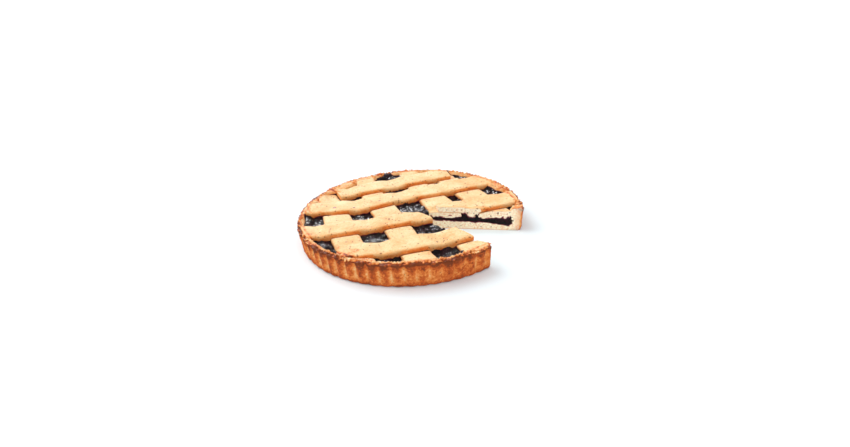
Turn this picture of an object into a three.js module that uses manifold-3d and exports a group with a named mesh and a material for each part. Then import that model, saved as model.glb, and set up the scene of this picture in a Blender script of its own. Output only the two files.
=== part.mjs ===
// Mixed berry crostata: a fluted shortcrust case filled with berry jam under a lattice of eight
// pastry strips, with one wedge cut out. Millimetres, +Z up. The origin is the middle of the
// underside. The wedge opens towards +X and -Y, and both of its cuts start at the centre.

import * as THREE from 'three';
import { mergeVertices } from 'three/addons/utils/BufferGeometryUtils.js';
import Module from 'manifold-3d';

const wasm = await Module();
wasm.setup();

// The case
const rimRadius = 139.8; // the widest reach of the lip
const rimHeight = 29.4; // the crest, before its crumbs
const footRadius = 137.4; // the ribs at the underside
const shoulderRadius = 139; // the ribs just under the lip
const shoulderHeight = 23;
const lipHeight = 26.4;
const crestRadius = 136;
const ledgeRadius = 132; // where the crest turns into the hollow
const ledgeHeight = 28.4;
const fluteCount = 66;
const fluteDepth = 2.6;
const columnsPerFlute = 4;
const grooveAngle = 232.8; // degrees, the middle of one groove
const crumbHeight = 0.7; // how far the crest rises and falls
const lipWobble = 0.35; // how far the lip's edge wanders in and out
const hollowColumns = 72;
const hollowTop = 38; // above everything
const broadRimAngle = 136; // degrees, where the rim is broadest inwards
const broadRimReach = 15; // degrees to either side
const broadRimBreadth = 10;
const broadRimFoot = 12; // the height from which the wall thickens there
const broadRimShoulder = 24;

// The filling
const jamLevel = 18.4;
const slabFloor = 5; // below the whole of the case's inside
const berryRadius = 8;
const berrySpacing = 15.5;
const berryRise = 2.8; // how far a berry stands out of the jam
const berrySizes = [0.85, 1.15];
const berryRises = [0.6, 1.4];
const berryFlatness = 0.8;
const berryJitter = 0.35;
const rowSpacing = 0.88; // rows lie closer than the berries in a row
const berryReach = 126; // the farthest berry's centre

// The lattice
const bedHeight = 14; // the jam under a strip, pressed down
const underTop = 25.2; // an under strip between its crossings
const pressDepth = 2.8; // how far an over strip presses it down
const overTop = 27.2;
const crossingTop = 29.5;
const crossingGap = 1.1;
const sagReach = 12; // how far from a crossing an over strip has sunk back
const endRise = 2.2; // how far the strip ends climb onto the rim
const endRiseStart = 114;
const stationStep = 9.5;
const lineStep = 4; // between the places that tell where a strip covers the jam
const edgeWobble = 0.7;
const edgeSoftness = 1;

// The cut
const firstCutAngle = -12.5; // degrees from +X, on the side of +Y
const secondCutAngle = -53;
const cutReach = 220;
const cutFloor = -20;
const cutDepth = 80;

const gap = 0.3; // left between neighbouring pieces
const mergeReach = 1e-4; // closer vertices are one
const nearly = 1; // tells the points of a profile apart

// Centre lines of the strips, each point with the strip's width there: [x, y, width]
const underStrips = {
  under_strip_1: [[-50, -134, 31], [-69.5, -80, 32], [-89, -15, 34], [-108, 48, 31], [-120, 82, 28]],
  under_strip_2: [[11, -137, 32], [-10, -65, 32], [-27, -10, 35], [-47, 51, 31], [-66, 122, 28]],
  under_strip_3_front: [[76, -137, 32], [67, -106, 33], [59, -78, 33]],
  under_strip_3_back: [[47, -24, 37], [36, 20, 37], [15.5, 75, 30], [0, 137, 28]],
  under_strip_4: [[110, -50, 34], [102, -20, 35], [87, 28, 36], [62, 85, 31], [42, 132, 29]],
};
const overStrips = {
  over_strip_1: [[-80, -101, 28], [-38, -98.5, 29], [30, -84, 30], [84, -67, 31]],
  over_strip_2_left: [[-134, -52, 32], [-50, -37.5, 29], [0, -26.5, 28], [24, -21, 28]],
  over_strip_2_right: [[38, -15, 33], [64, -6, 34], [87, -0.5, 36], [115, 7.5, 36], [138, 13, 34]],
  over_strip_3: [[-137, 17, 31], [-60, 24, 34], [-16, 41, 31], [38, 58, 35], [110, 79, 34], [126, 84, 32]],
  over_strip_4: [[-98, 60, 29], [-77, 70, 30], [-25, 91, 34], [40, 110, 31], [78, 117, 28]],
};

// A strip's section, from side to side (-1 to 1) and from its underside to its top (0 to 1)
const stripSection = [
  [0.93, 0], [1, 0.4], [0.93, 0.87], [0.5, 1.03],
  [-0.5, 1.03], [-0.93, 0.87], [-1, 0.4], [-0.93, 0],
];
const trenchSection = [[1, 0], [1, 1], [-1, 1], [-1, 0]];
const trenchTop = 40;

const pastry = { color: 0xf3d9a5, roughness: 0.85, metalness: 0 };
const bakedPastry = { color: 0xc98448, roughness: 0.85, metalness: 0 };
const jam = { color: 0x2a1020, roughness: 0.25, metalness: 0 };

function seededRandom(seed) {
  let state = seed;
  return () => {
    state = (state * 1664525 + 1013904223) % 4294967296;
    return state / 4294967296;
  };
}

// A gentle random wave: the sum of sines whose whole frequencies close on themselves over a turn
function makeWave(frequencies, seed) {
  const random = seededRandom(seed);
  const phases = frequencies.map(() => random() * 2 * Math.PI);
  return (angle) => {
    const parts = frequencies.map((frequency, i) => Math.sin(frequency * angle + phases[i]));
    return parts.reduce((sum, part) => sum + part, 0) / Math.sqrt(frequencies.length);
  };
}

// The solid of a closed mesh: vertices merged by place, without the triangles that closed up
function toSolid(geometry) {
  const bare = geometry.clone();
  bare.deleteAttribute('normal');
  bare.deleteAttribute('uv');
  const merged = mergeVertices(bare, mergeReach);
  const index = merged.index.array;
  const kept = [];
  for (let i = 0; i < index.length; i += 3) {
    const [a, b, c] = [index[i], index[i + 1], index[i + 2]];
    if (a !== b && b !== c && c !== a) {
      kept.push(a, b, c);
    }
  }
  const vertProperties = Float32Array.from(merged.attributes.position.array);
  const triVerts = Uint32Array.from(kept);
  return new wasm.Manifold(new wasm.Mesh({ numProp: 3, vertProperties, triVerts }));
}

function toMesh(solid, name, look) {
  const { vertProperties, triVerts } = solid.getMesh();
  const geometry = new THREE.BufferGeometry();
  geometry.setAttribute('position', new THREE.BufferAttribute(vertProperties, 3));
  geometry.setIndex(new THREE.BufferAttribute(triVerts, 1));
  geometry.computeVertexNormals();
  const mesh = new THREE.Mesh(geometry, new THREE.MeshStandardMaterial(look));
  mesh.name = name;
  return mesh;
}

// A turned body about the Z axis, from [radius, height] pairs that run from the axis to the axis
function turned(profile, columns, startAngle = 0) {
  const points = profile.map(([radius, height]) => new THREE.Vector2(radius, height));
  const start = THREE.MathUtils.degToRad(startAngle + 90);
  const geometry = new THREE.LatheGeometry(points, columns, start, 2 * Math.PI);
  return geometry.rotateX(Math.PI / 2);
}

// 1 in the middle of a groove and 0 on the crown of a rib, so ribs are round and grooves narrow
function groove(angle) {
  const turn = angle - THREE.MathUtils.degToRad(grooveAngle);
  return 1 - Math.abs(Math.sin((turn * fluteCount) / 2));
}

// Grooves run the height of the wall and fade out in the lip
function grooveShare(height) {
  return 1 - 0.75 * THREE.MathUtils.smoothstep(height, shoulderHeight, rimHeight);
}

// The case before it is hollowed: its foot, fluted wall, overhanging lip and crumbly crest
function caseBody() {
  const profile = [
    [0, 0],
    [footRadius, 0],
    [shoulderRadius, shoulderHeight],
    [rimRadius, lipHeight],
    [crestRadius, rimHeight],
    [ledgeRadius, ledgeHeight],
    [0, ledgeHeight],
  ];
  const geometry = turned(profile, fluteCount * columnsPerFlute, grooveAngle);
  const raggedEdge = makeWave([21, 34, 55], 7);
  const raggedCrest = makeWave([27, 41, 63], 19);
  const place = geometry.attributes.position;
  for (let i = 0; i < place.count; i += 1) {
    const radius = Math.hypot(place.getX(i), place.getY(i));
    const height = place.getZ(i);
    if (radius > ledgeRadius - nearly) {
      const angle = Math.atan2(place.getY(i), place.getX(i));
      const rag = height > shoulderHeight + nearly ? lipWobble * raggedEdge(angle) : 0;
      const rise = height > lipHeight + nearly ? crumbHeight * raggedCrest(angle) : 0;
      const outer = radius - fluteDepth * groove(angle) * grooveShare(height) + rag;
      const moved = radius > crestRadius + nearly ? outer : radius;
      place.setXYZ(i, moved * Math.cos(angle), moved * Math.sin(angle), height + rise);
    }
  }
  return toSolid(geometry);
}

// How much thicker the wall is at the broad part of the rim
function broadening(angle, height) {
  const away = Math.abs(THREE.MathUtils.radToDeg(angle) - broadRimAngle);
  const share = 1 - THREE.MathUtils.smoothstep(away, broadRimReach / 3, broadRimReach);
  return broadRimBreadth * share * THREE.MathUtils.smoothstep(height, broadRimFoot, broadRimShoulder);
}

// The room inside the case, drawn in by the margin on every side
function hollow(margin) {
  const profile = [
    [0, 12.6],
    [35, 12.3],
    [60, 10.7],
    [87, 10.9],
    [107, 8.4],
    [121, 7.2],
    [127, 11],
    [128.8, 16],
    [130.4, 24],
    [131.6, 28],
    [132.6, hollowTop],
  ];
  const drawn = profile.map(([radius, height]) => [Math.max(0, radius - margin), height + margin]);
  drawn[0][0] = 0;
  drawn.push([0, hollowTop + margin]);
  const geometry = turned(drawn, hollowColumns);
  const place = geometry.attributes.position;
  for (let i = 0; i < place.count; i += 1) {
    const radius = Math.hypot(place.getX(i), place.getY(i));
    if (radius > nearly) {
      const angle = Math.atan2(place.getY(i), place.getX(i));
      const moved = radius - broadening(angle, place.getZ(i));
      place.setXY(i, moved * Math.cos(angle), moved * Math.sin(angle));
    }
  }
  return toSolid(geometry);
}

// The wedge: everything between the two cuts
function wedge() {
  const corner = (angle) => {
    const turn = THREE.MathUtils.degToRad(angle);
    return new THREE.Vector2(cutReach * Math.cos(turn), cutReach * Math.sin(turn));
  };
  const outline = new THREE.Shape([
    new THREE.Vector2(0, 0),
    corner(secondCutAngle),
    corner((firstCutAngle + secondCutAngle) / 2),
    corner(firstCutAngle),
  ]);
  const geometry = new THREE.ExtrudeGeometry(outline, { depth: cutDepth, bevelEnabled: false });
  return toSolid(geometry.translate(0, 0, cutFloor));
}

function centreLine(path) {
  return new THREE.CatmullRomCurve3(path.map(([x, y, width]) => new THREE.Vector3(x, y, width)));
}

function stationsOf(path, step) {
  const curve = centreLine(path);
  const count = Math.round(curve.getLength() / step);
  return Array.from({ length: count + 1 }, (_, i) => {
    const point = curve.getPointAt(i / count);
    const ahead = curve.getTangentAt(i / count);
    const along = new THREE.Vector2(ahead.x, ahead.y).normalize();
    return { x: point.x, y: point.y, half: point.z / 2, along };
  });
}

const underLines = Object.values(underStrips).map((path) => stationsOf(path, lineStep));
const overLines = Object.values(overStrips).map((path) => stationsOf(path, lineStep));

// 1 where one of the lines' strips covers the place, falling to 0 within the reach beyond its edge
function covered(x, y, lines, reach) {
  let most = 0;
  for (const line of lines) {
    for (const station of line) {
      const beyond = Math.hypot(x - station.x, y - station.y) - station.half;
      most = Math.max(most, 1 - THREE.MathUtils.smoothstep(beyond, -edgeSoftness, reach));
    }
  }
  return most;
}

function climb(x, y) {
  return endRise * THREE.MathUtils.smoothstep(Math.hypot(x, y), endRiseStart, ledgeRadius);
}

// Underside and top of an under strip, pressed down where an over strip crosses it
function underHeights(x, y) {
  const press = pressDepth * covered(x, y, overLines, sagReach / 2);
  return [bedHeight + climb(x, y), underTop - press + climb(x, y)];
}

// Underside and top of an over strip, which sinks back to the jam between its crossings
function overHeights(x, y) {
  const lift = covered(x, y, underLines, sagReach);
  const crossingBed = underTop - pressDepth + crossingGap;
  const low = THREE.MathUtils.lerp(bedHeight, crossingBed, lift);
  const high = THREE.MathUtils.lerp(overTop, crossingTop, lift);
  return [low + climb(x, y), high + climb(x, y) * (1 - lift)];
}

// A section carried along a strip's centre line, swollen by the margin on every side
function sweptSolid(section, path, heights, seed, margin) {
  const wobble = makeWave([13, 29, 47], seed);
  const stations = stationsOf(path, stationStep);
  const rows = stations.length;
  const columns = section.length;
  const places = [];
  const index = [];
  stations.forEach((station, row) => {
    for (const [side, level] of section) {
      const wander = edgeWobble * wobble((row * Math.PI) / rows + (side > 0 ? 1 : 2));
      const reach = side * (station.half + margin) + wander;
      const x = station.x - station.along.y * reach;
      const y = station.y + station.along.x * reach;
      const [low, high] = heights(x, y);
      places.push(x, y, low - margin + level * (high - low + 2 * margin));
    }
  });
  for (let row = 0; row < rows - 1; row += 1) {
    for (let column = 0; column < columns; column += 1) {
      const next = (column + 1) % columns;
      const [a, b] = [row * columns + column, row * columns + next];
      const [c, d] = [a + columns, b + columns];
      index.push(a, b, c, b, d, c);
    }
  }
  const last = (rows - 1) * columns;
  for (let column = 1; column < columns - 1; column += 1) {
    index.push(0, column + 1, column, last, last + column, last + column + 1);
  }
  const geometry = new THREE.BufferGeometry();
  geometry.setAttribute('position', new THREE.Float32BufferAttribute(places, 3));
  geometry.setIndex(index);
  return toSolid(geometry);
}

function stripSolid({ path, heights, seed }, margin) {
  return sweptSolid(stripSection, path, heights, seed, margin);
}

// The room that a strip takes out of the jam, open to above
function trench(path, seed) {
  return sweptSolid(trenchSection, path, () => [bedHeight, trenchTop], seed, gap);
}

// The jam with the berries that show between the strips
function filling(trenches) {
  const profile = [[0, slabFloor], [rimRadius, slabFloor], [rimRadius, jamLevel], [0, jamLevel]];
  let solid = toSolid(turned(profile, hollowColumns));
  const random = seededRandom(41);
  const strips = underLines.concat(overLines);
  const rows = Math.ceil(berryReach / berrySpacing);
  for (let row = -rows; row <= rows; row += 1) {
    for (let column = -rows; column <= rows; column += 1) {
      const shift = (row % 2) / 2 + berryJitter * (random() - 0.5);
      const x = (column + shift) * berrySpacing;
      const y = (row + berryJitter * (random() - 0.5)) * berrySpacing * rowSpacing;
      const size = berryRadius * THREE.MathUtils.lerp(...berrySizes, random());
      const lift = berryRise * THREE.MathUtils.lerp(...berryRises, random());
      if (Math.hypot(x, y) < berryReach && covered(x, y, strips, 0.5) < 0.5) {
        const berry = new THREE.IcosahedronGeometry(size, 1);
        berry.rotateX(random() * Math.PI);
        berry.scale(1, 1, berryFlatness);
        berry.translate(x, y, jamLevel + lift - size * berryFlatness);
        solid = solid.add(toSolid(berry));
      }
    }
  }
  solid = solid.intersect(hollow(gap));
  return trenches.reduce((rest, taken) => rest.subtract(taken), solid);
}

const cut = wedge();
const room = hollow(gap);

const unders = Object.entries(underStrips).map(([name, path], i) => {
  return { name, path, heights: underHeights, seed: 10 + i };
});
const overs = Object.entries(overStrips).map(([name, path], i) => {
  return { name, path, heights: overHeights, seed: 20 + i };
});
const trenches = unders.concat(overs).map(({ path, seed }) => trench(path, seed));
const swollenUnders = unders.map((strip) => stripSolid(strip, gap));

const crostata = new THREE.Group();
crostata.add(toMesh(caseBody().subtract(hollow(0)).subtract(cut), 'pastry_case', bakedPastry));
crostata.add(toMesh(filling(trenches).subtract(cut), 'berry_filling', jam));
for (const strip of unders) {
  const piece = stripSolid(strip, 0).intersect(room).subtract(cut);
  crostata.add(toMesh(piece, strip.name, pastry));
}
for (const strip of overs) {
  const piece = stripSolid(strip, 0).intersect(room).subtract(cut);
  const clear = swollenUnders.reduce((rest, under) => rest.subtract(under), piece);
  crostata.add(toMesh(clear, strip.name, pastry));
}

export default crostata;
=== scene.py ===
# Mixed berry crostata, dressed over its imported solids. Shapes are worked out in millimetres
# and become metres when they are made into meshes.
import math

import bmesh
import bpy
import numpy as np
from mathutils import Matrix, Vector


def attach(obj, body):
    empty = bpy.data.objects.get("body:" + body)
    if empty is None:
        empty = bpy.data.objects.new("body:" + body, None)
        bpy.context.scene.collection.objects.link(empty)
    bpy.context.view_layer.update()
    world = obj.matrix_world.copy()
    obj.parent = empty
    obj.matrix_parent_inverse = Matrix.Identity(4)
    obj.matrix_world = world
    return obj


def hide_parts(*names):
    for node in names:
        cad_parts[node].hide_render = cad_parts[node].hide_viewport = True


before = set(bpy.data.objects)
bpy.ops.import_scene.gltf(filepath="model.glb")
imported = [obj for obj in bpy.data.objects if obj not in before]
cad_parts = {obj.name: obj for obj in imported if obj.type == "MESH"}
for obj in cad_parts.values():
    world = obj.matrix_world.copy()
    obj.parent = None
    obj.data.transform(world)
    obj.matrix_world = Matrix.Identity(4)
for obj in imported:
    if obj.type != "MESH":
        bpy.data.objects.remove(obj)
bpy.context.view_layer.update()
print("frame:", len(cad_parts), "nodes")

mm = 0.001  # metres in a millimetre

photoView = {
    "width": 850,  # pixels
    "height": 447,
    "distance": 586,  # from the camera to the middle of the underside
    "elevation": 26.6,  # degrees above the floor
    "roll": 4.0,  # degrees, right side up
    "focal": 457.5,  # pixels
    "originAt": (411.2, 227.2),  # pixels, where the middle of the underside shows
}

tart = {
    "rimRadius": 139.8,
    "crestHeight": 29.4,
    "topLimit": 30.4,  # nothing stands higher
    "fluteCount": 66,
    "grooveAngle": 232.8,  # degrees, the middle of one groove
    "cutStart": -12.5,  # degrees, the cut on the side of +Y
    "cutEnd": -53.0,
}


# the red, green and blue of a screen colour, 0 to 255, as the shaders want them
def tint(red, green, blue):
    screen = np.array([red, green, blue]) / 255.0
    light = np.where(screen <= 0.04045, screen / 12.92, ((screen + 0.055) / 1.055) ** 2.4)
    return (*[float(value) for value in light], 1.0)


# 0 below the low value, 1 above the high one, and an S-shaped rise between them
def eased(value, low, high):
    part = np.clip((value - low) / (high - low), 0.0, 1.0)
    return part * part * (3.0 - 2.0 * part)


# whole numbers scrambled into one fixed value from -1 to 1
def scrambled(x, y, z, seed):
    mixed = (x * 374761393 + y * 668265263 + z * 1440662683 + seed * 974634777) & 0xFFFFFFFF
    mixed = ((mixed ^ (mixed >> 13)) * 1274126177) & 0xFFFFFFFF
    return (mixed ^ (mixed >> 16)) / 2147483647.5 - 1.0


# random values at the corners of cubes of the size, blended smoothly between the eight corners
def grain(points, size, seed):
    place = points / size
    cell = np.floor(place)
    part = place - cell
    ease = part * part * (3.0 - 2.0 * part)
    cell = cell.astype(np.int64)
    total = np.zeros(points.shape[:-1])
    for corner in range(8):
        step = [corner & 1, (corner >> 1) & 1, corner >> 2]
        weight = np.ones(points.shape[:-1])
        for axis in range(3):
            weight = weight * (ease[..., axis] if step[axis] else 1.0 - ease[..., axis])
        ends = [cell[..., axis] + step[axis] for axis in range(3)]
        total += weight * scrambled(*ends, seed)
    return total


# grain summed over octaves, each half the size and half the strength of the one before
def layered(points, size, seed, octaves=3):
    total = np.zeros(points.shape[:-1])
    for octave in range(octaves):
        total += grain(points, size / 2**octave, seed + octave) / 2**octave
    return total / 1.5


# A crumbly relief: cells around scattered points. The first value is 1 in the middle of a cell and
# falls to 0 in the crevice to the next one, the second is a fixed value of the cell, -1 to 1.
def crumbs(points, size, seed):
    place = points / size
    cell = np.floor(place).astype(np.int64)
    nearest = np.full(points.shape[:-1], 9.0)
    second = nearest.copy()
    value = np.zeros(points.shape[:-1])
    for step in np.ndindex(3, 3, 3):
        home = cell + np.array(step) - 1
        ids = [home[..., axis] for axis in range(3)]
        jitter = np.stack([scrambled(*ids, seed + k) for k in range(3)], -1)
        distance = np.linalg.norm(place - home - 0.5 - 0.42 * jitter, axis=-1)
        isNearer = distance < nearest
        second = np.where(isNearer, nearest, np.minimum(second, distance))
        value = np.where(isNearer, scrambled(*ids, seed + 9), value)
        nearest = np.where(isNearer, distance, nearest)
    return eased(second - nearest, 0.0, 0.55), value


# a line through corner points, with the given number of even steps on each stretch
def stretched(corners, steps):
    rows = [np.array(corners[0], float)[None]]
    for start, end, count in zip(corners, corners[1:], steps):
        share = np.arange(1, count + 1)[:, None] / count
        rows.append(np.array(start) + (np.array(end) - np.array(start)) * share)
    return np.concatenate(rows)


# a line laid out anew with the given number of points, evenly along its length
def evenly(line, count):
    lengths = np.linalg.norm(np.diff(line, axis=0), axis=1)
    reach = np.concatenate([[0.0], np.cumsum(lengths)])
    wanted = np.linspace(0.0, reach[-1], count)
    return np.stack([np.interp(wanted, reach, line[:, k]) for k in range(line.shape[1])], -1)


# unit normals to the left of a flat line's direction
def leftNormals(line):
    ahead = np.gradient(line[:, :2], axis=0)
    normals = np.stack([-ahead[:, 1], ahead[:, 0]], -1)
    return normals / np.maximum(np.linalg.norm(normals, axis=1, keepdims=True), 1e-9)


# a radius and height profile carried round the axis: x = r cos a, y = r sin a, z = height
def swept(radius, height, angles):
    turn = np.radians(angles)[:, None]
    return np.stack([radius * np.cos(turn), radius * np.sin(turn), height + 0.0 * turn], -1)


# which way a cut faces, away from the tart and into the missing wedge
def cutNormal(which):
    turn = math.radians(tart[which])
    side = 1.0 if which == "cutStart" else -1.0
    return np.array([math.sin(turn) * side, -math.cos(turn) * side, 0.0])


# quads between two rows of vertex numbers, seen with the second row above the first
def quadsBetween(lower, upper):
    return np.stack([upper[:-1], upper[1:], lower[1:], lower[:-1]], -1)


cutFace = {
    "steps": 9,  # from its lower to its upper edge
    "soakSize": 3.6,  # mm, the ragged patches of the jam that has soaked in
    "soakRagged": 2.2,
    "soakUp": (0.5, 0.9, 2.6),  # mm from the lower edge: full, gone, and how far the patches add to it
    "soakDown": (0.3, 0.8, 1.2),
    "bakedFrom": 124.0,  # mm from the axis, from where a cut face looks more like crust
    "bakedTo": 137.0,
    "bakedShare": 0.6,
}


# 1 at a stained edge and 0 away from it, with a reach of least + spread * ragged
def soaked(away, ragged, start, least, spread):
    return 1.0 - eased(away, start * ragged, least + spread * np.maximum(ragged, 0.1))


# A closed skin between a lower and an upper sheet of the same grid. Each sheet holds places and
# marks in its last axis. Only every so many rows of the lower sheet are kept. The ends are faces
# low + (high - low) * share, blended from the lower sheet's end row to the upper one's and pushed
# out along the end's normal by relief * grain, which fades to nothing at their edges. Their stain
# is the stained edge's own times what has soaked in.
def skinBetween(low, high, ends, relief=0.35, reliefSize=2.2, thin=1):
    low = low[::thin]
    lowIds = np.arange(low.shape[0] * low.shape[1]).reshape(low.shape[:2])
    highIds = lowIds.size + np.arange(high.shape[0] * high.shape[1]).reshape(high.shape[:2])
    marks = low.shape[-1]
    blocks = [low.reshape(-1, marks), high.reshape(-1, marks)]
    faces = [
        np.stack([highIds[:-1, :-1], highIds[1:, :-1], highIds[1:, 1:], highIds[:-1, 1:]], -1).reshape(-1, 4),
        np.stack([lowIds[:-1, :-1], lowIds[:-1, 1:], lowIds[1:, 1:], lowIds[1:, :-1]], -1).reshape(-1, 4),
    ]
    spans = [slice(k, highIds.shape[0] - thin + k, thin) for k in range(thin + 1)]
    for column in (-1, 0):
        chain = np.stack([highIds[span, column] for span in spans], -1)
        side = np.concatenate([chain, lowIds[1:, column, None], lowIds[:-1, column, None]], -1)
        faces.append(side if column else side[:, ::-1])
    nextId = lowIds.size + highIds.size
    steps = cutFace["steps"]
    share = (np.arange(1, steps) / steps)[:, None, None]
    across = np.linspace(-1, 1, low.shape[1])
    for row, normal in zip((0, -1), ends):
        face = low[row] + (high[row] - low[row]) * share
        thick = np.linalg.norm(high[row, :, :3] - low[row, :, :3], axis=-1)
        above = thick * share[..., 0]
        ragged = 1.0 + cutFace["soakRagged"] * layered(face[..., :3], cutFace["soakSize"], 95)
        wetBelow = low[row, :, 5] * soaked(above, ragged, *cutFace["soakUp"])
        wetAbove = high[row, :, 5] * soaked(thick - above, ragged, *cutFace["soakDown"])
        face[..., 5] = np.maximum(wetBelow, wetAbove)
        if normal is not None:
            fade = np.minimum(1.0, 5.0 * share * (1.0 - share))[..., 0]
            fade = fade * np.minimum(1.0, 12.0 * (1.0 - np.abs(across)))
            bump = relief * layered(face[..., :3], reliefSize, 61) * fade
            face[..., :3] += bump[..., None] * normal
            atWall = eased(np.hypot(face[..., 0], face[..., 1]), cutFace["bakedFrom"], cutFace["bakedTo"])
            face[..., 3] = 1.0 - cutFace["bakedShare"] * atWall  # the mark of a cut face
        ids = nextId + np.arange((steps - 1) * low.shape[1]).reshape(steps - 1, -1)
        nextId += ids.size
        blocks.append(face.reshape(ids.size, marks))
        ladder = np.concatenate([lowIds[row][None], ids, highIds[row][None]])
        ladder = ladder if row == 0 else ladder[:, ::-1]
        faces += [quadsBetween(ladder[k], ladder[k + 1]) for k in range(steps)]
    return np.concatenate(blocks), faces


# Puts skins into one mesh, merges the points that meet, and shades it smoothly up to sharp edges
def makePiece(name, skins, material):
    places, faces, first = [], [], 0
    for points, polygons in skins:
        places.append(points)
        faces += [polygon for block in polygons for polygon in (block + first).tolist()]
        first += len(points)
    points = np.concatenate(places)
    mesh = bpy.data.meshes.new(name)
    mesh.from_pydata((points[:, :3] * mm).tolist(), [], faces)
    for column, mark in enumerate(("cut", "bakeAndShade", "stain"), 3):
        layer = mesh.attributes.new(mark, "FLOAT", "POINT")
        layer.data.foreach_set("value", points[:, column].astype(np.float32))
    work = bmesh.new()
    work.from_mesh(mesh)
    bmesh.ops.remove_doubles(work, verts=work.verts, dist=2e-6)
    bmesh.ops.dissolve_degenerate(work, edges=work.edges, dist=1e-7)
    work.to_mesh(mesh)
    work.free()
    mesh.shade_smooth()
    mesh.set_sharp_from_angle(angle=math.radians(58))
    mesh.materials.append(material)
    piece = bpy.data.objects.new(name, mesh)
    bpy.context.scene.collection.objects.link(piece)
    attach(piece, "root")
    print("piece:", name, sum(len(face.vertices) - 2 for face in mesh.polygons), "triangles")
    return piece


# camera

def placeCamera():
    view = photoView
    rise = math.radians(view["elevation"])
    roll = math.radians(view["roll"])
    back = np.array([0.0, -math.cos(rise), math.sin(rise)])
    right = np.array([1.0, 0.0, 0.0])
    up = np.array([0.0, math.sin(rise), math.cos(rise)])
    across = math.cos(roll) * right - math.sin(roll) * up
    upward = math.sin(roll) * right + math.cos(roll) * up
    lens = bpy.data.cameras.new("photoCamera")
    lens.sensor_width = 36.0
    lens.lens = lens.sensor_width * view["focal"] / view["width"]
    lens.shift_x = (view["width"] / 2 - view["originAt"][0]) / view["width"]
    lens.shift_y = (view["originAt"][1] - view["height"] / 2) / view["width"]
    lens.clip_start = 0.01
    lens.clip_end = 100.0
    camera = bpy.data.objects.new("photoCamera", lens)
    bpy.context.scene.collection.objects.link(camera)
    place = back * view["distance"] * mm
    pose = np.eye(4)
    pose[:3, 0], pose[:3, 1], pose[:3, 2], pose[:3, 3] = across, upward, back, place
    camera.matrix_world = Matrix(pose)
    bpy.context.scene.camera = camera


placeCamera()
print("camera placed")


# materials

def addNode(tree, kind, inputs=None, **settings):
    node = tree.nodes.new(kind)
    for key, value in settings.items():
        setattr(node, key, value)
    for key, value in (inputs or {}).items():
        node.inputs[key].default_value = value
    return node


def addRamp(tree, factor, stops):
    node = tree.nodes.new("ShaderNodeValToRGB")
    ramp = node.color_ramp
    while len(ramp.elements) < len(stops):
        ramp.elements.new(0.5)
    for element, (position, colour) in zip(ramp.elements, stops):
        element.position = position
        element.color = colour
    tree.links.new(factor, node.inputs["Fac"])
    return node.outputs["Color"]


# a noise texture over the place; the scale counts its waves in a metre
def addNoise(tree, place, scale, detail, roughness=0.5):
    values = {"Scale": scale, "Detail": detail, "Roughness": roughness}
    node = addNode(tree, "ShaderNodeTexNoise", values)
    tree.links.new(place, node.inputs["Vector"])
    return node


def addMath(tree, operation, *values, clamp=False):
    node = tree.nodes.new("ShaderNodeMath")
    node.operation = operation
    node.use_clamp = clamp
    for socket, value in zip(node.inputs, values):
        if isinstance(value, (int, float)):
            socket.default_value = value
        else:
            tree.links.new(value, socket)
    return node.outputs[0]


def addMix(tree, share, first, second):
    node = tree.nodes.new("ShaderNodeMix")
    node.data_type = "RGBA"
    for name, value in (("Factor", share), ("A", first), ("B", second)):
        kind = "VALUE" if name == "Factor" else "RGBA"
        socket = next(s for s in node.inputs if s.name == name and s.type == kind)
        if isinstance(value, (int, float, tuple)):
            socket.default_value = value
        else:
            tree.links.new(value, socket)
    return next(s for s in node.outputs if s.type == "RGBA")


def addMark(tree, name):
    node = tree.nodes.new("ShaderNodeAttribute")
    node.attribute_name = name
    return node.outputs["Fac"]


# the stain mark above a start, made steeper: (stain - start) * steepness, kept from 0 to 1
def addStain(tree, start, steepness):
    beyond = addMath(tree, "SUBTRACT", addMark(tree, "stain"), start)
    return addMath(tree, "MULTIPLY", beyond, steepness, clamp=True)


# the source as a relief on the shader's normal, as strong and as high as the look says
def addBump(tree, shader, source, look):
    values = {"Strength": look["bumpStrength"], "Distance": look["bumpHeight"]}
    bump = addNode(tree, "ShaderNodeBump", values)
    tree.links.new(source, bump.inputs["Height"])
    tree.links.new(bump.outputs["Normal"], shader.inputs["Normal"])


flour = {
    "speckCell": 4.0,  # mm, one cell may hold one speck
    "speckLeast": 0.35,  # the smallest speck, as a share of the largest
    "speckSpread": 0.65,  # added to that at random, up to the largest
    "speckEmpty": 0.3,  # the share of the cells that hold none
    "speckSharpness": 14.0,
    "speckShake": 2.6,  # mm, how far the specks are pulled out of round
    "speckShakeSize": 1.6,  # mm
    "patchSize": 22.0,  # mm
    "grainSize": 1.0,  # mm
    "poreSize": 1.7,  # mm
}


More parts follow.
